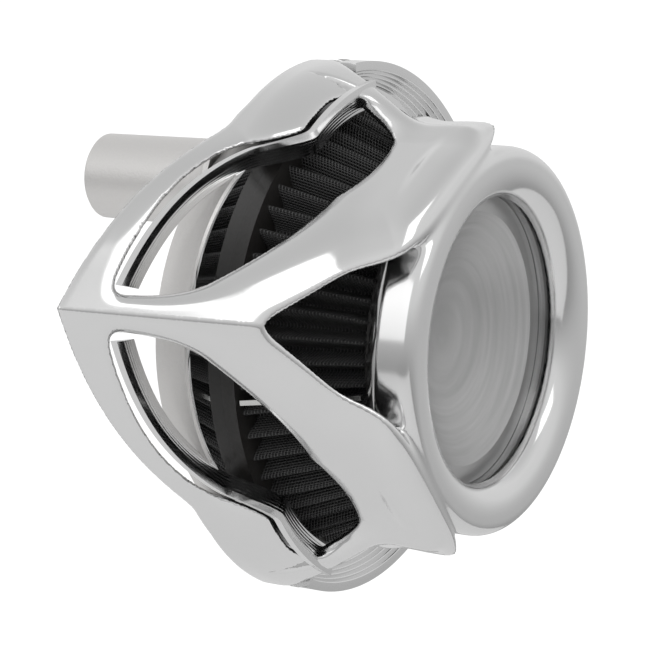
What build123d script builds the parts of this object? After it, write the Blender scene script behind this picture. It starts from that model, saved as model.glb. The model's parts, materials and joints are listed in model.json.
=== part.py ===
from build123d import *
import math
import os

# Open teardrop air cleaner for a V-twin motorcycle.  Millimetres.
# Origin: centre of the throttle bore at the rear face of the backplate's neck.
# +Y runs in towards the engine, so the round window faces -Y.  +Z is up, and
# the teardrop's point is at -X.

# ---- driving dimensions -------------------------------------------------
WINDOW_R = 50.0            # visible window
WINDOW_Y = -95.0           # plane of the window's edge
RING_MID_R = 62.5          # fat ring round the window
RING_SECTION_R = 12.2
RIM_R = 96.0               # round end of the teardrop rim
TIP_X = 140.0              # reach of the point from the axis
RIM_FRONT_Y = -35.0
RIM_BACK_Y = -10.0         # at the point
RIM_ROUND_BACK_Y = -20.4   # round the rest of the rim
RIM_SLOPE_END_X = -80.0
WALL = 7.0
STRUT_X = (-36.0, -23.5)    # struts over the top and the bottom
SILL_STEPS = 5             # stair steps along each opening's outer side
STEP_WIDTH = 1.2
STEP_DEPTH = 2.6

FACE_Y = -34.0             # polished face that the element sits on
FACE_T = 1.5
PLATE_BACK_Y = -21.0
PLATE_R = 88.2
NOSE_X = 36.0              # nose arc of the backplate: centre and radius
NOSE_R = 64.0
NECK_R = 42.0
BORE_R = 26.5

BREATHER_X = 57.0          # breather bosses of the two cylinder heads
BREATHER_Z = 45.5
BREATHER_R = 14.2
BREATHER_END_Y = 35.0
BREATHER_TUBE_R = 14.8     # behind the cover the stand-off is a little wider
BREATHER_BOLT_R = 6.35
BOLT_SEAT_Y = -26.5        # bottom of the counterbores for the hollow bolts
WASHER_T = 1.0
SEAT_R = 7.5               # counterbore that locates on the head's breather boss
SEAT_DEPTH = 7.0
FLARE_Y = -20.0             # pad just behind the cover's rear edge
FLARE_R = 20.0

ELEMENT_REAR_R = 81.0
ELEMENT_FRONT_R = 60.0
ELEMENT_FRONT_Y = -82.0
PLEATS = 54
PLEAT_DEPTH = 12.0
MEDIA_T = 1.6
DISH_R = 51.0
DISH_T = 1.0
DISH_DEPTH = 12.0

THROTTLE_SCREW_PCD_R = 35.0
THROTTLE_SCREW_R = 3.0
GASKET_T = 1.5
COVER_SCREW_R = 1.5
RING_SCREW_R = 1.5
LENS_R = 56.6
LENS_T = 3.0
LENS_FRONT_Y = -90.0
RETAINER_R = 64.0
RETAINER_Y = -85.7
RETAINER_T = 2.5
LUG_R = 3.0
LUG_ANGLES = (60.0, -60.0)
LUG_AT_R = 85.4
TIP_LUG_X = -104.0
TIP_LUG_R = 4.0
HUB_R = 73.0               # openings stop here in front of HUB_BACK_Y
HUB_BACK_Y = -78.0
HUB_CLEAR_R = 61.0

os.makedirs("parts", exist_ok=True)


def save(shape, node):
    """Write one node, as a plain solid or a group of solids."""
    export_step(shape, f"parts/{node}.step")


def at_y(y):
    """Plane facing -Y at height y: local x is +X, local y is +Z."""
    return Plane(origin=(0, y, 0), x_dir=(1, 0, 0), z_dir=(0, -1, 0))


def prism(face, y_front, y_back):
    """Extrude a face drawn in x, z from y_front back to y_back."""
    return extrude(at_y(y_back) * face, amount=y_back - y_front)


def tube(radius, y_front, y_back, x=0.0, z=0.0, bore=0.0):
    """Round bar along Y, hollow when a bore is given."""
    disc = Circle(radius) - Circle(bore) if bore else Circle(radius)
    return prism(Pos(x, z) * disc, y_front, y_back)


def spun(points):
    """Solid of revolution about Y from (radius, y) points."""
    outline = Polyline(*[(r, y) for r, y in points], close=True)
    return revolve(make_face(outline), axis=Axis.Y)


def polar(radius, degrees):
    a = math.radians(degrees)
    return radius * math.cos(a), radius * math.sin(a)


def gather(solids):
    """One node holding several separate solids."""
    return Compound(children=list(solids))


# ---- teardrop outlines --------------------------------------------------
def teardrop_wire(radius, tip, bulge=3.6):
    """Round end of the given radius, convex sides, point at (-tip, 0)."""
    cos_t = radius / tip
    sin_t = math.sqrt(1 - cos_t * cos_t)
    touch = (-radius * cos_t, radius * sin_t)
    side_x = (touch[0] - tip) / 2 - bulge * cos_t
    side_z = touch[1] / 2 + bulge * sin_t
    upper = ThreePointArc((touch[0], touch[1]), (side_x, side_z), (-tip, 0))
    lower = ThreePointArc((-tip, 0), (side_x, -side_z), (touch[0], -touch[1]))
    end = ThreePointArc((touch[0], -touch[1]), (radius, 0), (touch[0], touch[1]))
    return Wire([upper, lower, end])


def teardrop(radius, tip, bulge=3.6):
    return Face(teardrop_wire(radius, tip, bulge))


def ridge_x(y):
    """Reach of the sharp ridge that runs from the ring to the point."""
    front_reach = 75.0
    share = (y - WINDOW_Y) / (RIM_BACK_Y - WINDOW_Y)
    return front_reach + (TIP_X - front_reach) * share


# ---- cover --------------------------------------------------------------
def envelope(inset, y_front, y_back):
    """Loft from the window ring out to the teardrop rim, inset by a wall."""
    stations = ((y_front, 74.0), (-66.0, 78.5), (-42.0, 90.0), (y_back, RIM_R - 0.5))
    faces = []
    for y, radius in stations:
        tip = max(ridge_x(y), radius + 4.0)
        faces.append(at_y(y) * teardrop(radius - inset, tip - 1.35 * inset, 3.0))
    return loft(faces)


def window_ring():
    """Fat rounded ring with a step behind its lip for the lens."""
    ring_y = WINDOW_Y + 9.5
    ring = Plane.XY * Pos(RING_MID_R, ring_y) * Circle(RING_SECTION_R)
    return revolve(ring, axis=Axis.Y)


def arm_bar(sign):
    """Diagonal arm from the ridge's inner end to the ring, seen from -Y."""
    outline = Polyline((-114, 5 * sign), (-42, 59.5 * sign), (-30, 40 * sign),
                       (-58, 38.5 * sign), (-101, 0), (-114, 0), close=True)
    return make_face(outline)


def opening_face(inset, hub_r):
    """All of the side openings together, with their outer edge at one inset."""
    outer = teardrop(RIM_R - inset, TIP_X - 1.35 * inset, 3.0)
    struts = Pos(sum(STRUT_X) / 2, 0) * Rectangle(STRUT_X[1] - STRUT_X[0], 220)
    rear_strut = Pos(80, 0) * Rectangle(60, 16)
    tip_block = Pos(-130, 0) * Rectangle(30, 12)
    keep = Circle(hub_r) + struts + rear_strut + arm_bar(1) + arm_bar(-1) + tip_block
    return outer - keep


def triangle_face(behind_hub):
    """Opening between the two arms, with its long side round the ring."""
    side_r, corner_x = HUB_R - 2.5, -60.0
    corner_z = math.sqrt(side_r ** 2 - corner_x ** 2)
    tips = Polyline((corner_x, -corner_z), (-101, 0), (corner_x, corner_z))
    if behind_hub:
        side = Polyline((corner_x, corner_z), (-50, corner_z), (-50, -corner_z), (corner_x, -corner_z))
    else:
        side = ThreePointArc((corner_x, corner_z), (-side_r, 0), (corner_x, -corner_z))
    return make_face(list(tips.edges()) + list(side.edges()))


def rim_lug(degrees):
    """Screw lug carried inboard from the rim, clear of the backplate's edge."""
    x, z = polar(LUG_AT_R, degrees)
    lug = tube(LUG_R, FACE_Y - 9.0, FACE_Y, x, z)
    inboard = Rot(0, 0, degrees) * Pos((LUG_AT_R + RIM_R - 2.0) / 2, 0)
    lug += prism(inboard * Rectangle(RIM_R - 2.0 - LUG_AT_R, 5.0), FACE_Y - 5.0, FACE_Y)
    foot = Rot(0, 0, degrees) * Pos((PLATE_R + 0.6 + RIM_R - 2.0) / 2, 0)
    lug += prism(foot * Rectangle(RIM_R - 2.6 - PLATE_R, 5.0), FACE_Y - 5.0, FACE_Y + 10.0)
    return lug - tube(COVER_SCREW_R + 0.1, FACE_Y - 9.5, FACE_Y + 1.0, x, z)


def cover():
    shell = envelope(0.0, -91.0, RIM_BACK_Y)
    shell -= envelope(WALL, -91.1, RIM_BACK_Y + 0.1)
    body = shell + window_ring()
    body -= prism(plate_face(-0.5), FACE_Y - 1.5, RIM_BACK_Y + 1.0)
    for step in range(SILL_STEPS):
        inset = 7.6 - STEP_WIDTH * step
        depth = RIM_FRONT_Y + 14.0 - STEP_DEPTH * step
        body -= prism(opening_face(inset, HUB_R), -110.0, HUB_BACK_Y)
        body -= prism(opening_face(inset, HUB_CLEAR_R), HUB_BACK_Y, depth)
    body -= prism(triangle_face(False), -110.0, HUB_BACK_Y)
    body -= prism(triangle_face(True), HUB_BACK_Y, -45.0)
    body -= tube(WINDOW_R + 0.3, -110.0, -80.0)
    body -= tube(LENS_R + 0.5, LENS_FRONT_Y, -60.0)
    body -= tube(RETAINER_R + 0.4, RETAINER_Y, -60.0)
    for x, z in ring_screw_places():
        body -= tube(RING_SCREW_R, RETAINER_Y - 8.0, RETAINER_Y + 1.0, x, z)
    for sign in (1, -1):
        slot = Polyline((-38.5, -37.5), (-32.5, -49.0), (-39.5, -48.0), close=True)
        body -= extrude(Pos(0, 0, 60 * sign) * make_face(slot), amount=40 * sign)
    for degrees in LUG_ANGLES:
        body += rim_lug(degrees)
    body += tube(TIP_LUG_R, -52.0, FACE_Y, TIP_LUG_X, 0.0)
    return body - tube(COVER_SCREW_R + 0.1, -44.0, FACE_Y + 1.0, TIP_LUG_X, 0.0)


# ---- lens group ---------------------------------------------------------
def rear_relief():
    """Wedge that sets the rim's rear edge forward everywhere but at the point."""
    behind = RIM_BACK_Y + 5.0
    side = Polyline((-TIP_X - 1.0, RIM_BACK_Y + 0.1), (RIM_SLOPE_END_X, RIM_ROUND_BACK_Y),
                    (RIM_R + 5.0, RIM_ROUND_BACK_Y), (RIM_R + 5.0, behind), (-TIP_X - 1.0, behind), close=True)
    return extrude(make_face(side), RIM_R + 10.0, both=True)


def lens():
    disc = tube(LENS_R, LENS_FRONT_Y, LENS_FRONT_Y + LENS_T)
    return chamfer(disc.edges().filter_by(GeomType.CIRCLE), 0.4)


def lens_seal():
    return tube(LENS_R, LENS_FRONT_Y + LENS_T, RETAINER_Y, bore=LENS_R - 3.2)


def ring_screw_places():
    return [polar(60.6, 45.0 + 90.0 * k) for k in range(4)]


def lens_retaining_ring():
    ring = tube(RETAINER_R, RETAINER_Y, RETAINER_Y + RETAINER_T, bore=51.5)
    for x, z in ring_screw_places():
        ring -= tube(RING_SCREW_R + 0.1, RETAINER_Y - 1, RETAINER_Y + 8, x, z)
        ring -= tube(3.0, RETAINER_Y + 0.8, RETAINER_Y + 8, x, z)
    return ring


def throttle_screw(x, z):
    """Socket cap screw from the stack's flange, with its threaded end behind the gasket."""
    seat, head_r, head_h = FACE_Y - 1.0, 5.0, 6.0
    screw = tube(head_r, seat - head_h, seat, x, z)
    screw += tube(THROTTLE_SCREW_R + 0.2, seat, GASKET_T, x, z)
    screw += tube(THROTTLE_SCREW_R, GASKET_T, GASKET_T + 13.0, x, z)
    socket = Pos(x, z) * RegularPolygon(2.9, 6)
    return screw - prism(socket, seat - head_h - 1, seat - head_h * 0.4)


def rear_screw(x, z, shank_r, head_r, y_seat, length, head_h):
    """Socket cap screw put in from behind, with its head at +Y."""
    screw = tube(head_r, y_seat, y_seat + head_h, x, z)
    screw += tube(shank_r, y_seat - length, y_seat, x, z)
    socket = Pos(x, z) * RegularPolygon(shank_r * 0.95, 6)
    return screw - prism(socket, y_seat + head_h * 0.4, y_seat + head_h + 1)


# ---- filter element -----------------------------------------------------
def element_r(y):
    """Outer radius of the conical pleat pack."""
    share = (y - ELEMENT_FRONT_Y) / (FACE_Y - ELEMENT_FRONT_Y)
    return ELEMENT_FRONT_R - 1.0 + (ELEMENT_REAR_R - ELEMENT_FRONT_R) * share


def star(radius, y):
    """Zigzag outline of the pleats at one section."""
    points = []
    for k in range(2 * PLEATS):
        r = radius if k % 2 == 0 else radius - PLEAT_DEPTH
        points.append(polar(r, 180.0 * k / PLEATS))
    return at_y(y) * make_face(Polyline(*points, close=True))


PLEAT_FRONT_Y = ELEMENT_FRONT_Y + 5.0
PLEAT_REAR_Y = FACE_Y - 5.0


def filter_pleats():
    outer = [star(element_r(y), y) for y in (PLEAT_FRONT_Y, PLEAT_REAR_Y)]
    inner = [star(element_r(y) - MEDIA_T, y) for y in (PLEAT_FRONT_Y, PLEAT_REAR_Y)]
    return loft(outer, ruled=True) - loft(inner, ruled=True)


def filter_inner_screen():
    """Thin support cone just inside the pleats."""
    front = element_r(PLEAT_FRONT_Y) - PLEAT_DEPTH - MEDIA_T - 0.4
    rear = element_r(PLEAT_REAR_Y) - PLEAT_DEPTH - MEDIA_T - 0.4
    return spun([(front - 0.8, PLEAT_FRONT_Y), (front, PLEAT_FRONT_Y),
                 (rear, PLEAT_REAR_Y), (rear - 0.8, PLEAT_REAR_Y)])


def filter_front_cap():
    y, r = ELEMENT_FRONT_Y, ELEMENT_FRONT_R
    return spun([(45.2, y + 0.8), (46.0, y), (r - 0.8, y), (r, y + 0.8), (r, y + 5.0), (45.2, y + 5.0)])


def filter_rear_cap():
    r = ELEMENT_REAR_R
    return spun([(62.0, FACE_Y - 5.0), (r, FACE_Y - 5.0), (r, FACE_Y), (62.0, FACE_Y)])


def element_dish():
    """Closed concave dish that fills the middle of the front cap."""
    bowl_r = DISH_R - 6.5
    ball_r = (bowl_r ** 2 + DISH_DEPTH ** 2) / (2 * DISH_DEPTH)

    def bowl(y_rim):
        middle = y_rim + DISH_DEPTH - ball_r + math.sqrt(ball_r ** 2 - bowl_r ** 2 / 4)
        return ThreePointArc((0, y_rim + DISH_DEPTH), (bowl_r / 2, middle), (bowl_r, y_rim))

    back = ELEMENT_FRONT_Y
    front = back - DISH_T
    outline = [bowl(front), Line((bowl_r, front), (DISH_R, front)), Line((DISH_R, front), (DISH_R, back)),
               Line((DISH_R, back), (bowl_r, back)), bowl(back),
               Line((0, back + DISH_DEPTH), (0, front + DISH_DEPTH))]
    return revolve(make_face(outline), axis=Axis.Y)


def filter_seam_clip():
    """Folded metal strip that joins the two ends of the media."""
    front, rear = PLEAT_FRONT_Y + 0.5, PLEAT_REAR_Y - 0.5
    strip = [at_y(y) * Pos(element_r(y) + 1.0, 0) * Rectangle(1.2, 1.8) for y in (front, rear)]
    return Rot(0, 160, 0) * loft(strip, ruled=True)


# ---- backplate group ----------------------------------------------------
def plate_face(inset):
    """Round plate drawn out to a blunt nose on the teardrop's side."""
    big, small = PLATE_R - inset, NOSE_R - inset
    sin_a = (big - small) / NOSE_X
    cos_a = math.sqrt(1 - sin_a * sin_a)
    round_end = (-big * sin_a, big * cos_a)
    nose_end = (-NOSE_X - small * sin_a, small * cos_a)
    end = ThreePointArc((round_end[0], -round_end[1]), (big, 0), round_end)
    top = Line(round_end, nose_end)
    nose = ThreePointArc(nose_end, (-NOSE_X - small, 0), (nose_end[0], -nose_end[1]))
    low = Line((nose_end[0], -nose_end[1]), (round_end[0], -round_end[1]))
    ear = Pos(TIP_LUG_X, 0) * Circle(TIP_LUG_R + 1.6 - inset * 0.2)
    return make_face([end, top, nose, low]) + ear


def cover_screw_places():
    return [polar(LUG_AT_R, a) for a in LUG_ANGLES] + [(TIP_LUG_X, 0.0)]


def throttle_screw_places():
    return [polar(THROTTLE_SCREW_PCD_R, 90.0 + 120.0 * k) for k in range(3)]


def face_plate():
    plate = prism(plate_face(0.8), FACE_Y, FACE_Y + FACE_T)
    plate -= tube(NECK_R + 2.0, FACE_Y - 1, FACE_Y + FACE_T + 1)
    for x, z in cover_screw_places():
        plate -= tube(COVER_SCREW_R + 0.2, FACE_Y - 1, FACE_Y + 3, x, z)
    return plate


def backplate():
    front = FACE_Y + FACE_T
    outline = prism(plate_face(0.0), front, PLATE_BACK_Y)
    body = outline - prism(plate_face(5.0), PLATE_BACK_Y - 6.0, PLATE_BACK_Y + 1)
    body += tube(NECK_R, front, 0.0)
    for k in range(6):
        rib = Rot(0, 0, 30.0 + 60.0 * k) * Pos(62, 0) * Rectangle(46, 3.0)
        body += prism(rib, PLATE_BACK_Y - 7.0, PLATE_BACK_Y - 1.0)
    for x, z in cover_screw_places():
        body += tube(LUG_R + 2.0, front, PLATE_BACK_Y, x, z) & outline
    for sign in (1, -1):
        body += tube(BREATHER_R + 1.5, front, PLATE_BACK_Y, BREATHER_X * sign, BREATHER_Z) & outline
    for x, z in cover_screw_places():
        body -= tube(COVER_SCREW_R + 0.2, front - 1, PLATE_BACK_Y + 1, x, z)
    for sign in (1, -1):
        body -= tube(BREATHER_BOLT_R + 0.3, front - 1, PLATE_BACK_Y + 1, BREATHER_X * sign, BREATHER_Z)
        body -= tube(11.6, front - 1, BOLT_SEAT_Y, BREATHER_X * sign, BREATHER_Z)
        gallery = Pos(BREATHER_X * sign * 0.86, BREATHER_Z * 0.86)
        body -= prism(gallery * Rot(0, 0, 38.6 * sign) * Rectangle(28, 5.0), front - 1, front + 3.0)
    for x, z in throttle_screw_places():
        body -= tube(THROTTLE_SCREW_R + 0.3, front - 1, 1.0, x, z)
    body -= tube(BORE_R, front - 1, 1.0)
    return body


def velocity_stack():
    """Spun bell mouth, with a flange that the throttle screws clamp."""
    throat = BORE_R - 0.5
    lip_r, lip_y = 41.0, ELEMENT_FRONT_Y + 20.0
    flange_front = FACE_Y - 1.0
    wall = 1.5
    curve = []
    for k in range(13):
        a = math.radians(90.0 * k / 12)
        curve.append((throat + (lip_r - throat) * (1 - math.cos(a)),
                      FACE_Y - 6.0 - (FACE_Y - 6.0 - lip_y) * math.sin(a)))
    inner = Spline(*[(r, y) for r, y in curve], tangents=((0, -1), (1, 0)))
    outer = Spline(*[(r + wall * math.cos(math.radians(7.5 * k)), y + wall * math.sin(math.radians(7.5 * k)))
                     for k, (r, y) in enumerate(curve)], tangents=((0, -1), (1, 0)))
    edges = [inner, outer,
             Line(curve[-1], (curve[-1][0], curve[-1][1] + wall)),
             Line((throat + wall, FACE_Y - 6.0), (throat + wall, flange_front)),
             Line((throat + wall, flange_front), (NECK_R - 1.0, flange_front)),
             Line((NECK_R - 1.0, flange_front), (NECK_R - 1.0, FACE_Y + FACE_T)),
             Line((NECK_R - 1.0, FACE_Y + FACE_T), (throat, FACE_Y + FACE_T)),
             Line((throat, FACE_Y + FACE_T), (throat, FACE_Y - 6.0))]
    bell = revolve(make_face(edges), axis=Axis.Y)
    for x, z in throttle_screw_places():
        bell -= tube(THROTTLE_SCREW_R + 0.3, FACE_Y - 3, FACE_Y + 3, x, z)
    return bell


def throttle_gasket():
    ring = tube(NECK_R, 0.0, GASKET_T, bore=BORE_R + 1.0)
    for x, z in throttle_screw_places():
        ring -= tube(THROTTLE_SCREW_R + 0.3, -1, 3, x, z)
    return ring


def breather_standoff(sign):
    """Long boss between the backplate and a cylinder head, flared at its root."""
    bolt_hole = BREATHER_BOLT_R + 0.3
    profile = [(bolt_hole, PLATE_BACK_Y), (BREATHER_R, PLATE_BACK_Y),
               (BREATHER_R, FLARE_Y), (FLARE_R, FLARE_Y), (FLARE_R, FLARE_Y + 2.0)]
    for k in range(1, 7):
        a = math.radians(15.0 * k)
        profile.append((FLARE_R - (FLARE_R - BREATHER_TUBE_R - 0.3) * math.sin(a),
                        FLARE_Y + 2.0 + 11.0 * (1 - math.cos(a))))
    profile += [(BREATHER_TUBE_R, BREATHER_END_Y - 0.8), (BREATHER_TUBE_R - 0.8, BREATHER_END_Y),
                (12.5, BREATHER_END_Y), (12.5, BREATHER_END_Y - 1.2), (10.5, BREATHER_END_Y - 1.2),
                (10.5, BREATHER_END_Y), (SEAT_R, BREATHER_END_Y),
                (SEAT_R, BREATHER_END_Y - SEAT_DEPTH), (bolt_hole, BREATHER_END_Y - SEAT_DEPTH)]
    boss = Pos(BREATHER_X * sign, 0, BREATHER_Z) * spun(profile)
    return boss - tube(NECK_R + 1.0, PLATE_BACK_Y - 1, BREATHER_END_Y)


def breather_bolt(sign):
    """Hollow bolt that holds the plate to the head and carries crankcase breath."""
    x = BREATHER_X * sign
    under_head = BOLT_SEAT_Y - WASHER_T
    bolt = prism(Pos(x, BREATHER_Z) * RegularPolygon(10.0, 6), under_head - 4.6, under_head)
    bolt += tube(BREATHER_BOLT_R, under_head, BREATHER_END_Y - SEAT_DEPTH - 1.0, x, BREATHER_Z)
    return bolt - tube(3.0, under_head - 6.0, BREATHER_END_Y, x, BREATHER_Z)


def breather_washer(sign):
    return tube(11.0, BOLT_SEAT_Y - WASHER_T, BOLT_SEAT_Y, BREATHER_X * sign, BREATHER_Z,
                BREATHER_BOLT_R + 0.2)


def breather_seal(sign):
    return tube(12.4, BREATHER_END_Y - 1.2, BREATHER_END_Y, BREATHER_X * sign, BREATHER_Z, 10.6)


# ---- write every node ---------------------------------------------------
save(cover() - rear_relief(), "cover")
save(lens(), "lens")
save(lens_seal(), "lens_seal")
save(lens_retaining_ring(), "lens_retaining_ring")
save(gather(rear_screw(x, z, RING_SCREW_R, 2.8, RETAINER_Y + 0.8, 7.0, 1.6)
            for x, z in ring_screw_places()), "lens_ring_screws")
save(filter_pleats(), "filter_pleats")
save(filter_inner_screen(), "filter_inner_screen")
save(filter_front_cap(), "filter_front_cap")
save(filter_rear_cap(), "filter_rear_cap")
save(filter_seam_clip(), "filter_seam_clip")
save(element_dish(), "element_dish")
save(face_plate(), "face_plate")
save(backplate(), "backplate")
save(velocity_stack(), "velocity_stack")
save(throttle_gasket(), "throttle_gasket")
save(gather(throttle_screw(x, z) for x, z in throttle_screw_places()), "throttle_screws")
for side, sign in (("left", -1), ("right", 1)):
    save(breather_standoff(sign), f"breather_standoff_{side}")
    save(breather_bolt(sign), f"breather_bolt_{side}")
save(gather(breather_washer(s) for s in (-1, 1)), "breather_washers")
save(gather(breather_seal(s) for s in (-1, 1)), "breather_seals")
save(gather(rear_screw(x, z, COVER_SCREW_R, 2.6, PLATE_BACK_Y + 0.6, 19.0, 3.0)
            for x, z in cover_screw_places()), "cover_screws")
save(gather(tube(3.0, PLATE_BACK_Y, PLATE_BACK_Y + 0.6, x, z, COVER_SCREW_R + 0.2)
            for x, z in cover_screw_places()), "cover_screw_washers")
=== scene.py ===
import json
import math

import bpy
import numpy as np
from mathutils import Matrix, Vector


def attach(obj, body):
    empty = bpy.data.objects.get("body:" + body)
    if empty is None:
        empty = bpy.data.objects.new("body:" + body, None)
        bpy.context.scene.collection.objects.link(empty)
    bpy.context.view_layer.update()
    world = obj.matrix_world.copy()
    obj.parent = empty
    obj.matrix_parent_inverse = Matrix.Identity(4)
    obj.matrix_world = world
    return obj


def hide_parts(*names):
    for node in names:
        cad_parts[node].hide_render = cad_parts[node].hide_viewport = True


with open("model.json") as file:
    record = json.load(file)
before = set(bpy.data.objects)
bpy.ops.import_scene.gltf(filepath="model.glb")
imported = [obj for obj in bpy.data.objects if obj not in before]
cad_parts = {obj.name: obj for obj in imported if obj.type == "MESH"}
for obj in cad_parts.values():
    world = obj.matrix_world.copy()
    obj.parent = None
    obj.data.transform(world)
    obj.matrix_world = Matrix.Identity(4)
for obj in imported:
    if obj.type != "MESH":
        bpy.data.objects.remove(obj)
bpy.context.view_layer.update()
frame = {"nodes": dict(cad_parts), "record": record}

# The shapes below are worked out in millimetres, in the CAD frame, and put in metres at the end.
MM = 0.001
WINDOW_Y = -95.0           # plane of the window's edge
RIM_BACK_Y = -10.0
FACE_Y = -34.0             # polished face under the element
ELEMENT_FRONT_Y = -82.0
RIM_DEPTH = 85.0           # rear edge of the rim at the point, behind the window's plane
RIM_SLOPE = 12.5           # how much nearer that edge is round the rest of the rim
WALL = 7.0
RIM_R, TIP_X = 95.6, 140.0
SIDE_BULGE = 9.3           # how far the rim's sides swell out of the straight line to the point
RING_R, RING_DEPTH = 61.8, 8.6       # middle of the fat ring's section
RING_HALF_WIDTH, RING_HALF_THICK = 13.0, 12.2
RING_SQUARENESS = 1.3      # 1 is an ellipse
BORE_R = 49.2
LENS_SEAT_R, LENS_SEAT_DEPTH = 57.2, 5.0
RECESS_R, RECESS_DEPTH = 64.6, 9.3
SKIN_FRONT_R, SKIN_GROWTH = 72.5, 23.1       # round part of the skin, from the window to the rim
RIDGE_FRONT_X, RIDGE_GROWTH = 75.0, 66.5     # the same for the ridge towards the point
HUB_R, REAR_HUB_R = 73.0, 76.5       # openings stop short of the ring at these radii
HUB_STEP = 12.0                      # deeper down they come this much closer
ARM_START_X, ARM_HALF = -112.0, 6.4  # upper edge of an arm, where it leaves the point
TRIANGLE_X = -99.2                   # corner of the triangular opening
OPENING_TOP_Z, OPENING_LEFT_X = 78.6, -128.0
EDGE_ROUNDING = 4.6
SIDE_INSET, REAR_INSET = 8.2, 3.0    # how far inside the rim's outline the stepped sills start
SILL_STEPS = 5
SILL_COVER = 0.6                     # the sills tuck under the opening's edge by this much
STRUT = (-31.5, -23.5)
REAR_STRUT_HALF = 8.0


# ---- smooth distance helpers ---------------------------------------------
def smooth_max(a, b, k):
    """Larger of two distances, with the corner rounded over a width k."""
    h = np.clip(0.5 + 0.5 * (a - b) / k, 0.0, 1.0)
    return b * (1 - h) + a * h + k * h * (1 - h)


def smooth_min(a, b, k):
    return -smooth_max(-a, -b, k)


def ease(t):
    t = np.clip(t, 0.0, 1.0)
    return t * t * (3 - 2 * t)


def teardrop(x, z, radius, tip, bulge):
    """Distance outside a teardrop: round end, slightly convex sides, point at -tip."""
    cos_t = np.clip(radius / tip, 0.0, 0.9995)
    sin_t = np.sqrt(1 - cos_t * cos_t)
    along = -x * sin_t - z * cos_t
    length = np.sqrt(np.maximum(tip * tip - radius * radius, 1.0))
    s = np.clip(along / length, 0.0, 1.15)
    side = -x * cos_t + z * sin_t - radius - bulge * 4.5 * s * s * (1 - s) / (s + 0.05)
    return np.where(along > 0, side, np.hypot(x, z) - radius)


def cover_outline(x, z, y):
    """Outer skin of the cover at depth y behind the window's plane."""
    radius = SKIN_FRONT_R + SKIN_GROWTH * ease((y - 10.0) / 55.0)
    tip = np.maximum(RIDGE_FRONT_X + RIDGE_GROWTH * y / RIM_DEPTH, radius + 0.6)
    bulge = SIDE_BULGE * np.clip((tip - radius) / 44.0, 0.0, 1.0)
    return teardrop(x, z, radius, tip, bulge)


def rim_outline(x, z, inset):
    """Distance outside the rim's own outline, drawn in by an inset."""
    return teardrop(x, z, RIM_R - inset, TIP_X - 1.35 * inset, SIDE_BULGE)


def side_openings(x, z, y, r):
    """Upper and lower openings on the pointed side, and the two on the round side."""
    hub = HUB_R - HUB_STEP * ease((y - 9.0) / 14.0) - r
    outer = rim_outline(x, z, SIDE_INSET - SILL_COVER)
    ring_end = smooth_max(hub, x - STRUT[0], 4.0)
    arm = 0.603 * (x - ARM_START_X) - 0.798 * (z - ARM_HALF)
    lower_edge = smooth_max(arm, ARM_HALF - 0.2 - z, 7.0)
    pointed = smooth_max(outer, lower_edge, 3.5)
    pointed = smooth_max(pointed, ring_end, 4.0)
    corners = smooth_max(z - OPENING_TOP_Z, OPENING_LEFT_X - x, 3.0)
    pointed = smooth_max(pointed, corners, 5.0)
    rear = smooth_max(rim_outline(x, z, REAR_INSET - SILL_COVER), REAR_HUB_R - r, 3.0)
    rear = smooth_max(rear, smooth_max(STRUT[1] - x, REAR_STRUT_HALF - z, 4.0), 6.0)
    return np.minimum(pointed, rear)


def triangle_opening(x, z, y, r):
    """Opening between the two arms."""
    hub = HUB_R - 5.5 - 6.5 * ease((y - 9.0) / 14.0) - r
    arms = -0.64 * (x - TRIANGLE_X) + 0.768 * z
    return smooth_max(smooth_max(arms, hub, 4.0), TRIANGLE_X - 0.8 - x, 6.0)


def strut_slot(x, z, y):
    """Small three-cornered slot through the strut."""
    a = 0.895 * (x + 33.0) + 0.446 * (y - 46.0)
    b = -0.18 * (x + 39.5) - 0.984 * (y - 46.6)
    c = -0.99 * (x + 39.0) - 0.12 * (y - 57.5)
    return smooth_max(smooth_max(smooth_max(a, b, 1.0), c, 1.0), 68.0 - z, 1.0)


def cover_field(px, py, pz):
    """Negative inside the cover's metal."""
    x, y, z = px, py - WINDOW_Y, np.abs(pz)
    r = np.hypot(x, z)
    skin = cover_outline(x, z, y)
    slope = cover_outline(x, z, y + 0.5) - cover_outline(x, z, y - 0.5)
    skin = skin / np.sqrt(1 + slope * slope)
    body = smooth_max(skin, -(skin + WALL), 3.0)
    body = smooth_max(body, 6.0 - y, 5.0)
    rear_edge = RIM_DEPTH - RIM_SLOPE * np.clip((x + TIP_X) / 80.0, 0.0, 1.0)
    body = smooth_max(body, y - rear_edge, 3.0)
    ring = np.hypot(np.abs((r - RING_R) / RING_HALF_WIDTH) ** RING_SQUARENESS,
                    np.abs((y - RING_DEPTH) / RING_HALF_THICK) ** RING_SQUARENESS)
    ring = 12.4 * (ring ** (1 / RING_SQUARENESS) - 1.0)
    body = smooth_min(body, ring, 12.0)
    holes = np.minimum(side_openings(x, z, y, r), triangle_opening(x, z, y, r))
    body = smooth_max(body, -holes, EDGE_ROUNDING)
    body = smooth_max(body, -strut_slot(x, z, y), 1.2)
    body = smooth_max(body, BORE_R - r, 2.0)
    body = smooth_max(body, -np.maximum(r - LENS_SEAT_R, LENS_SEAT_DEPTH - y), 0.8)
    return smooth_max(body, -np.maximum(r - RECESS_R, RECESS_DEPTH - y), 0.6)


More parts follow.
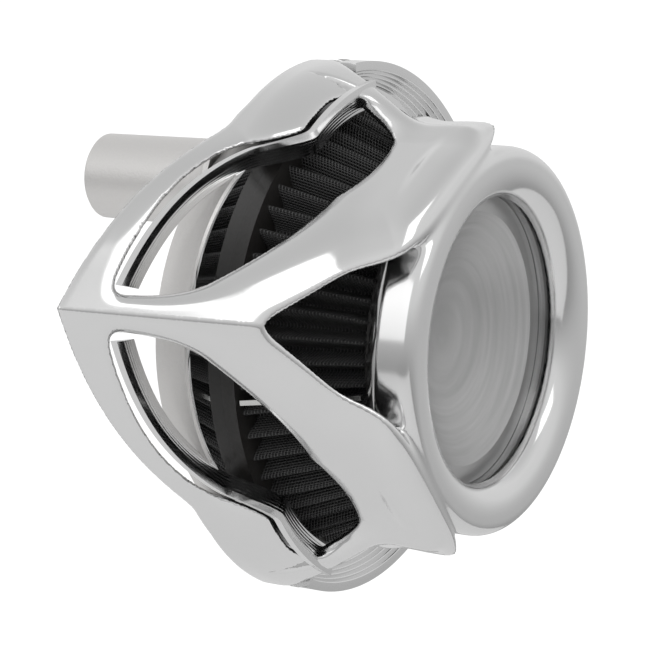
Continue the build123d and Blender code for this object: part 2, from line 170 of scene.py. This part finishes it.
# ---- meshing --------------------------------------------------------------
def surface_nets(field, low, high, step):
    """Quad mesh of field = 0: one vertex in each crossed cell."""
    axes = [np.arange(a, b, step) for a, b in zip(low, high)]
    axes[2] = (np.arange(math.ceil(2 * high[2] / step)) - math.ceil(high[2] / step) + 0.5) * step
    value = np.empty([len(a) for a in axes])
    for i, x in enumerate(axes[0]):
        value[i] = field(np.full((1, 1), x), axes[1][:, None], axes[2][None, :])
    inside = value < 0
    corners = [(i, j, k) for i in (0, 1) for j in (0, 1) for k in (0, 1)]
    nx, ny, nz = (n - 1 for n in value.shape)

    def corner(array, c):
        return array[c[0]:c[0] + nx, c[1]:c[1] + ny, c[2]:c[2] + nz]

    count = sum(corner(inside, c).astype(np.int8) for c in corners)
    cells = np.argwhere((count > 0) & (count < 8))
    total = np.zeros((len(cells), 3))
    hits = np.zeros(len(cells))
    for a in corners:
        for axis in range(3):
            if a[axis]:
                continue
            b = tuple(v + (n == axis) for n, v in enumerate(a))
            fa = value[tuple((cells + a).T)]
            fb = value[tuple((cells + b).T)]
            crossed = (fa < 0) != (fb < 0)
            share = np.where(crossed, fa / np.where(crossed, fa - fb, 1.0), 0.0)
            point = np.array(a)[None, :] + share[:, None] * (np.array(b) - np.array(a))[None, :]
            total += point * crossed[:, None]
            hits += crossed
    verts = cells + total / hits[:, None]
    origin = np.array([a[0] for a in axes])
    verts = origin + verts * step
    index = np.full((nx, ny, nz), -1, dtype=np.int64)
    index[tuple(cells.T)] = np.arange(len(cells))
    faces = []
    for axis in range(3):
        u, v = (axis + 1) % 3, (axis + 2) % 3
        lower = [slice(None)] * 3
        upper = [slice(None)] * 3
        lower[axis], upper[axis] = slice(0, -1), slice(1, None)
        first, second = inside[tuple(lower)], inside[tuple(upper)]
        for flip, crossing in ((False, first & ~second), (True, ~first & second)):
            at = np.argwhere(crossing)
            keep = (at[:, u] > 0) & (at[:, v] > 0)
            keep &= (at[:, u] < value.shape[u] - 1) & (at[:, v] < value.shape[v] - 1)
            at = at[keep]
            quad = []
            for du, dv in ((-1, -1), (0, -1), (0, 0), (-1, 0)):
                cell = at.copy()
                cell[:, u] += du
                cell[:, v] += dv
                quad.append(index[tuple(cell.T)])
            quad = np.stack(quad, axis=1)
            faces.append(quad[:, ::-1] if flip else quad)
    return verts, np.concatenate(faces)


def gradient(field, p, h=0.05):
    g = np.empty_like(p)
    for axis in range(3):
        d = np.zeros(3)
        d[axis] = h
        g[:, axis] = field(*(p + d).T) - field(*(p - d).T)
    return g / (2 * h)


def relax(verts, faces, rounds):
    """Even out the spacing: move each vertex towards the middle of its neighbours."""
    a = faces.ravel()
    b = np.roll(faces, 1, axis=1).ravel()
    ends, others = np.concatenate([a, b]), np.concatenate([b, a])
    degree = np.maximum(np.bincount(ends, minlength=len(verts)), 1)
    for _ in range(rounds):
        middle = np.stack([np.bincount(ends, verts[others, n], len(verts)) / degree for n in range(3)], 1)
        verts = 0.4 * verts + 0.6 * middle
    return verts


def settle(field, verts, reach):
    """Slide the vertices onto the exact surface, without letting any stray."""
    start = verts
    for _ in range(4):
        g = gradient(field, verts)
        verts = verts - 0.8 * (field(*verts.T) / np.maximum((g * g).sum(axis=1), 0.25))[:, None] * g
        away = verts - start
        length = np.linalg.norm(away, axis=1, keepdims=True)
        verts = start + away * np.minimum(1.0, reach / np.maximum(length, 1e-9))
    return verts


def new_object(name, verts_mm, faces, material, body):
    mesh = bpy.data.meshes.new(name)
    verts = (np.asarray(verts_mm, dtype=float) * MM).tolist()
    mesh.from_pydata(verts, [], [tuple(map(int, f)) for f in faces])
    mesh.validate()
    mesh.polygons.foreach_set("use_smooth", [True] * len(mesh.polygons))
    obj = bpy.data.objects.new(name, mesh)
    bpy.context.scene.collection.objects.link(obj)
    mesh.materials.append(material)
    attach(obj, body)
    return obj


# ---- materials ------------------------------------------------------------
def material(name):
    mat = bpy.data.materials.new(name)
    mat.use_nodes = True
    tree = mat.node_tree
    return mat, tree, tree.nodes["Principled BSDF"]


def add(tree, kind, **values):
    node = tree.nodes.new(kind)
    for key, value in values.items():
        if key in node.inputs:
            node.inputs[key].default_value = value
        else:
            setattr(node, key, value)
    return node


def object_noise(tree, scale, detail=3.0, stretch=(1, 1, 1)):
    coords = add(tree, "ShaderNodeTexCoord")
    mapping = add(tree, "ShaderNodeMapping")
    mapping.inputs["Scale"].default_value = stretch
    tree.links.new(coords.outputs["Object"], mapping.inputs["Vector"])
    noise = add(tree, "ShaderNodeTexNoise", Scale=scale, Detail=detail)
    tree.links.new(mapping.outputs["Vector"], noise.inputs["Vector"])
    return noise


def ramp(tree, source, low, high, start=0.3, end=0.7):
    node = add(tree, "ShaderNodeValToRGB")
    node.color_ramp.elements[0].position = start
    node.color_ramp.elements[1].position = end
    node.color_ramp.elements[0].color = low
    node.color_ramp.elements[1].color = high
    tree.links.new(source, node.inputs["Fac"])
    return node


def grey(v, tint=(1, 1, 1)):
    return (v * tint[0], v * tint[1], v * tint[2], 1.0)


def bump(tree, shader, height, strength, distance):
    node = add(tree, "ShaderNodeBump", Strength=strength, Distance=distance)
    tree.links.new(height, node.inputs["Height"])
    tree.links.new(node.outputs["Normal"], shader.inputs["Normal"])


def metal(name, base, rough, scale=60.0, spread=0.25, tint=(1, 1, 1), grain=0.0, stretch=(1, 1, 1)):
    """Metal whose tone and roughness vary a little over the surface."""
    mat, tree, shader = material(name)
    noise = object_noise(tree, scale, 4.0, stretch)
    tone = ramp(tree, noise.outputs["Fac"], grey(base * 0.97, tint), grey(base, tint))
    tree.links.new(tone.outputs["Color"], shader.inputs["Base Color"])
    shader.inputs["Metallic"].default_value = 1.0
    polish = add(tree, "ShaderNodeMapRange")
    polish.inputs["To Min"].default_value = rough * (1 - spread)
    polish.inputs["To Max"].default_value = rough * (1 + spread)
    tree.links.new(noise.outputs["Fac"], polish.inputs["Value"])
    tree.links.new(polish.outputs["Result"], shader.inputs["Roughness"])
    if grain:
        bump(tree, shader, noise.outputs["Fac"], grain, 0.0003)
    return mat


def rubber(name, base, rough, tint=(1, 1, 1)):
    mat, tree, shader = material(name)
    noise = object_noise(tree, 900.0, 3.0)
    tone = ramp(tree, noise.outputs["Fac"], grey(base * 0.8, tint), grey(base * 1.2, tint))
    tree.links.new(tone.outputs["Color"], shader.inputs["Base Color"])
    shader.inputs["Roughness"].default_value = rough
    shader.inputs["Specular IOR Level"].default_value = 0.5
    bump(tree, shader, noise.outputs["Fac"], 0.25, 0.0002)
    return mat


def clear_glass():
    mat, tree, shader = material("clear_lens")
    noise = object_noise(tree, 30.0, 2.0)
    tone = ramp(tree, noise.outputs["Fac"], grey(0.97), grey(1.0))
    tree.links.new(tone.outputs["Color"], shader.inputs["Base Color"])
    shader.inputs["Roughness"].default_value = 0.02
    shader.inputs["IOR"].default_value = 1.49
    shader.inputs["Transmission Weight"].default_value = 1.0
    return mat


def wire_media():
    """Black media under a fine woven wire mesh; the UV map counts the wires."""
    mat, tree, shader = material("pleat_media")
    uv = add(tree, "ShaderNodeUVMap", uv_map="UVMap")
    split = add(tree, "ShaderNodeSeparateXYZ")
    tree.links.new(uv.outputs["UV"], split.inputs["Vector"])
    waves = []
    for axis in ("X", "Y"):
        scaled = add(tree, "ShaderNodeMath", operation="MULTIPLY")
        scaled.inputs[1].default_value = 2 * math.pi
        tree.links.new(split.outputs[axis], scaled.inputs[0])
        wave = add(tree, "ShaderNodeMath", operation="COSINE")
        tree.links.new(scaled.outputs[0], wave.inputs[0])
        waves.append(wave)
    wires = add(tree, "ShaderNodeMath", operation="MAXIMUM")
    tree.links.new(waves[0].outputs[0], wires.inputs[0])
    tree.links.new(waves[1].outputs[0], wires.inputs[1])
    tone = ramp(tree, wires.outputs[0], grey(0.006), grey(0.14), 0.55, 0.95)
    tree.links.new(tone.outputs["Color"], shader.inputs["Base Color"])
    mask = ramp(tree, wires.outputs[0], grey(0.0), grey(0.65), 0.6, 0.95)
    tree.links.new(mask.outputs["Color"], shader.inputs["Metallic"])
    shader.inputs["Roughness"].default_value = 0.45
    bump(tree, shader, wires.outputs[0], 0.9, 0.0003)
    return mat


def brushed_bell():
    """Spun aluminium: fine rings round the bore."""
    mat, tree, shader = material("spun_aluminium")
    noise = object_noise(tree, 40.0, 6.0, (0.6, 28.0, 0.6))
    tone = ramp(tree, noise.outputs["Fac"], grey(0.42), grey(0.56))
    tree.links.new(tone.outputs["Color"], shader.inputs["Base Color"])
    shader.inputs["Metallic"].default_value = 1.0
    shader.inputs["Roughness"].default_value = 0.34
    shader.inputs["Anisotropic"].default_value = 0.5
    bump(tree, shader, noise.outputs["Fac"], 0.12, 0.0003)
    return mat


CHROME = metal("cover_chrome", 0.74, 0.13, 25.0, 0.2)
POLISHED = metal("polished_face", 0.80, 0.03, 20.0, 0.3)
SATIN = metal("satin_cast", 0.74, 0.42, 1400.0, 0.15, (1.0, 0.985, 0.97), 0.35)
ZINC = metal("zinc_steel", 0.62, 0.25, 500.0, 0.3, (1, 1, 0.98), 0.1)
SCREEN = metal("wire_screen", 0.35, 0.4, 800.0)
BLACK_STEEL = metal("black_steel", 0.06, 0.35, 500.0)
CAP = rubber("element_cap", 0.018, 0.33, (1.0, 0.93, 0.88))
SEAL = rubber("black_rubber", 0.02, 0.5)
GASKET = rubber("gasket_paper", 0.10, 0.8)
GLASS = clear_glass()
MEDIA = wire_media()
BELL = brushed_bell()

BY_SLOT = {
    "cover_chrome": CHROME, "clear_lens": GLASS, "black_rubber": SEAL, "zinc_steel": ZINC,
    "pleat_media": MEDIA, "wire_screen": SCREEN, "element_cap": CAP, "polished_face": POLISHED,
    "satin_cast": SATIN, "spun_aluminium": BELL, "gasket_paper": GASKET, "black_steel": BLACK_STEEL,
}

for part in frame["record"]["subparts"]:
    obj = frame["nodes"][part["node"]]
    obj.data.materials.clear()
    obj.data.materials.append(BY_SLOT[part["material_slot"]])
frame["nodes"]["lens_retaining_ring"].data.materials[0] = BELL


# ---- cover ----------------------------------------------------------------
def cover_shell():
    step = 1.1
    low, high = (-142.5, -99.0, -98.0), (98.0, -8.5, 98.0)
    verts, faces = surface_nets(cover_field, low, high, step)
    for _ in range(3):
        verts = settle(cover_field, relax(verts, faces, 2), 0.5 * step)
    shell = new_object("cover_shell", verts, faces, CHROME, "cover")
    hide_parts("cover")
    exact = gradient(cover_field, np.array(verts), 0.12)
    length = np.linalg.norm(exact, axis=1)
    meshed = np.empty(len(verts) * 3)
    shell.data.vertices.foreach_get("normal", meshed)
    meshed = meshed.reshape(-1, 3)
    exact /= np.maximum(length, 1e-9)[:, None]
    trust = np.clip(((exact * meshed).sum(axis=1) - 0.80) / 0.15, 0.0, 1.0)[:, None]
    mixed = exact * trust + meshed * (1 - trust)
    mixed /= np.maximum(np.linalg.norm(mixed, axis=1, keepdims=True), 1e-9)
    shell.data.normals_split_custom_set_from_vertices(mixed.tolist())
    return shell


def outline_point(inset, turn):
    """Point of the rim's outline seen at an angle from the axis, z upwards."""
    c, s = math.cos(turn), math.sin(turn)
    low, high = 40.0, 150.0
    for _ in range(40):
        mid = (low + high) / 2
        inside = rim_outline(np.array(mid * c), np.array(mid * s), inset) < 0
        low, high = (mid, high) if inside else (low, mid)
    return low * c, low * s


def skin_depth(x, z):
    """Depth behind the window's plane at which the outer skin passes over (x, z)."""
    low, high = 5.0, 86.0
    for _ in range(30):
        mid = (low + high) / 2
        low, high = (mid, high) if cover_outline(x, abs(z), mid) > 0 else (low, mid)
    return low


def stepped_sill(name, start, stop, sign, start_inset, step_width, step_depth):
    """Stair of fine steps down the outer side of one opening, parallel to its edge."""
    profile = [(start_inset - 2.0, 0.9)]
    for step in range(SILL_STEPS):
        depth = 0.9 + step_depth * step
        inset = start_inset + 0.2 + step_width * step
        profile += [(inset, depth), (inset + 0.8 * step_width, depth + 0.04),
                    (inset + step_width, depth + 0.25)]
    back = 0.9 + step_depth * SILL_STEPS
    profile += [(profile[-1][0], back), (start_inset - 2.0, back)]
    stations, count = 160, len(profile)
    verts, faces = [], []
    for i in range(stations + 1):
        turn = math.radians(start + (stop - start) * i / stations)
        edge_x, edge_z = outline_point(start_inset, turn)
        edge_y = WINDOW_Y + float(skin_depth(edge_x, edge_z))
        for inset, depth in profile:
            x, z = outline_point(inset, turn)
            verts.append((x, min(edge_y + depth, RIM_BACK_Y - 13.0), sign * z))
    for i in range(stations):
        for j in range(count):
            a, b = i * count + j, i * count + (j + 1) % count
            faces.append((a, b, b + count, a + count)[::sign])
    faces.append(tuple(range(count))[::-sign])
    faces.append(tuple(range(stations * count, (stations + 1) * count))[::sign])
    sill = new_object(name, verts, faces, CHROME, "cover")
    sill.data.set_sharp_from_angle(angle=math.radians(35))
    return sill


cover_shell()
stepped_sill("sill_upper", 106.0, 176.0, 1, SIDE_INSET, 1.5, 0.5)
stepped_sill("sill_lower", 106.0, 176.0, -1, SIDE_INSET, 1.5, 0.5)
stepped_sill("sill_rear_upper", 9.0, 104.0, 1, REAR_INSET, 1.2, 1.6)
stepped_sill("sill_rear_lower", 9.0, 104.0, -1, REAR_INSET, 1.2, 1.6)


# ---- pleats ----------------------------------------------------------------
PLEATS, PLEAT_DEPTH = 54, 9.0


def pleat_pack():
    """Rounded zigzag sheet, closed on itself, with wires counted in its UV map."""
    front_y, rear_y = ELEMENT_FRONT_Y + 4.6, FACE_Y - 4.6
    rows, per_pleat, sheet = 40, 16, 1.1
    around = PLEATS * per_pleat
    fold = np.arange(around) / per_pleat
    phase = fold % 1.0
    tri = 1 - 4 * np.abs(phase - 0.5)
    shape = np.sin(tri * math.pi / 2)
    verts, uvs = [], []
    rng = np.random.default_rng(7)
    lean = rng.normal(0.0, 0.055, PLEATS)
    for layer in (0.0, sheet):
        for i in range(rows + 1):
            t = i / rows
            y = front_y + (rear_y - front_y) * t
            outer = 58.8 + 21.0 * (y - ELEMENT_FRONT_Y) / (FACE_Y - ELEMENT_FRONT_Y)
            r = outer - layer - PLEAT_DEPTH * (0.5 - 0.5 * shape)
            wob = lean[(fold.astype(int)) % PLEATS] * np.sin(np.pi * phase) * math.sin(math.pi * t)
            a = 2 * math.pi * (fold + wob) / PLEATS
            verts += list(zip(r * np.cos(a), np.full(around, y), r * np.sin(a)))
    faces = []
    for layer in (0, 1):
        base = layer * (rows + 1) * around
        for i in range(rows):
            for j in range(around):
                a, b = base + i * around + j, base + i * around + (j + 1) % around
                quad = (a, b, b + around, a + around)
                faces.append(quad if layer == 0 else quad[::-1])
    inner = (rows + 1) * around
    for i in (0, rows):
        for j in range(around):
            a, b = i * around + j, i * around + (j + 1) % around
            quad = (a, a + inner, b + inner, b)
            faces.append(quad if i == 0 else quad[::-1])
    pack = new_object("pleat_pack", verts, faces, MEDIA, "element")
    layer = pack.data.uv_layers.new(name="UVMap")
    loops = np.empty(len(pack.data.loops), dtype=np.int64)
    pack.data.loops.foreach_get("vertex_index", loops)
    wires_round, wires_along = 12.0, 0.95
    column = (loops % around).astype(float)
    row = (loops // around) % (rows + 1)
    face_of = np.repeat(np.arange(len(pack.data.polygons)), 4)
    cols = column.reshape(-1, 4)
    last = (cols.max(axis=1) - cols.min(axis=1)) > around / 2
    column = np.where(last[face_of] & (column < around / 2), column + around, column)
    u = column / per_pleat * wires_round * 2
    v = row / rows * (rear_y - front_y) * wires_along
    layer.data.foreach_set("uv", np.stack([u, v], axis=1).ravel())
    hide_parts("filter_pleats")
    return pack


pleat_pack()


# ---- camera, light and floor ------------------------------------------------
def place_camera():
    azimuth, elevation, roll = math.radians(-60.54), math.radians(1.44), math.radians(5.21)
    target = np.array([0.0, -0.050, 0.0])
    distance, focal_px = 0.8516, 2400.0
    aim_x, aim_y = 60.4 / focal_px, -4.8 / focal_px
    back = np.array([math.sin(azimuth) * math.cos(elevation),
                     -math.cos(azimuth) * math.cos(elevation), math.sin(elevation)])
    ahead = -back
    right = np.cross(ahead, (0, 0, 1))
    right /= np.linalg.norm(right)
    up = np.cross(right, ahead)
    cam_up = math.cos(roll) * up - math.sin(roll) * right
    cam_right = math.sin(roll) * up + math.cos(roll) * right
    look = ahead - aim_x * cam_right - aim_y * cam_up
    look /= np.linalg.norm(look)
    cam_right = np.cross(look, cam_up)
    cam_right /= np.linalg.norm(cam_right)
    cam_up = np.cross(cam_right, look)
    camera = bpy.data.objects.new("camera", bpy.data.cameras.new("camera"))
    bpy.context.scene.collection.objects.link(camera)
    place = target + back * distance
    axes = np.eye(4)
    axes[:3, 0], axes[:3, 1], axes[:3, 2], axes[:3, 3] = cam_right, cam_up, -look, place
    camera.matrix_world = Matrix(axes.tolist())
    camera.data.sensor_width = 36.0
    camera.data.lens = focal_px / 650.0 * 36.0
    camera.data.clip_start = 0.01
    bpy.context.scene.camera = camera


def studio():
    world = bpy.data.worlds.new("studio")
    bpy.context.scene.world = world
    world.use_nodes = True
    tree = world.node_tree
    background = tree.nodes["Background"]
    coords = add(tree, "ShaderNodeTexCoord")
    split = add(tree, "ShaderNodeSeparateXYZ")
    tree.links.new(coords.outputs["Generated"], split.inputs["Vector"])
    shade = add(tree, "ShaderNodeValToRGB")
    stops = ((0.0, 0.18), (0.30, 0.32), (0.44, 0.52), (0.52, 0.62), (0.64, 0.80), (0.80, 0.84), (1.0, 0.66))
    shade.color_ramp.elements[0].color = grey(stops[0][1])
    shade.color_ramp.elements[1].color = grey(stops[-1][1])
    for place, value in stops[1:-1]:
        shade.color_ramp.elements.new(place).color = grey(value)
    half = add(tree, "ShaderNodeMapRange")
    half.inputs["From Min"].default_value = -1.0
    half.inputs["From Max"].default_value = 1.0
    tree.links.new(split.outputs["Z"], half.inputs["Value"])
    tree.links.new(half.outputs["Result"], shade.inputs["Fac"])
    tree.links.new(shade.outputs["Color"], background.inputs["Color"])
    backdrop = add(tree, "ShaderNodeBackground", Color=(1, 1, 1, 1), Strength=1.1)
    choose = add(tree, "ShaderNodeMixShader")
    seen = add(tree, "ShaderNodeLightPath")
    tree.links.new(seen.outputs["Is Camera Ray"], choose.inputs[0])
    tree.links.new(background.outputs[0], choose.inputs[1])
    tree.links.new(backdrop.outputs[0], choose.inputs[2])
    tree.links.new(choose.outputs[0], tree.nodes["World Output"].inputs["Surface"])

    def lamp(name, place, size, power):
        data = bpy.data.lights.new(name, "AREA")
        data.shape = "SQUARE"
        data.size = size
        data.energy = power
        obj = bpy.data.objects.new(name, data)
        obj.location = place
        obj.rotation_euler = (Vector((0, -0.05, 0)) - Vector(place)).to_track_quat("-Z", "Y").to_euler()
        bpy.context.scene.collection.objects.link(obj)

    lamp("key", (-0.6, -1.0, 1.1), 0.9, 2.6)
    lamp("fill", (-1.3, 0.3, 0.3), 0.8, 1.2)

    floor = bpy.data.meshes.new("floor")
    half_side, height = 1.5, -0.62
    floor.from_pydata([(-half_side, -half_side, height), (half_side, -half_side, height),
                       (half_side, half_side, height), (-half_side, half_side, height)], [], [(0, 1, 2, 3)])
    obj = bpy.data.objects.new("floor", floor)
    bpy.context.scene.collection.objects.link(obj)
    mat, tree, shader = material("floor")
    noise = object_noise(tree, 0.8, 1.0)
    tone = ramp(tree, noise.outputs["Fac"], grey(0.90), grey(0.93))
    tree.links.new(tone.outputs["Color"], shader.inputs["Base Color"])
    shader.inputs["Roughness"].default_value = 0.9
    floor.materials.append(mat)


place_camera()
studio()
bpy.context.scene.view_settings.view_transform = "Standard"
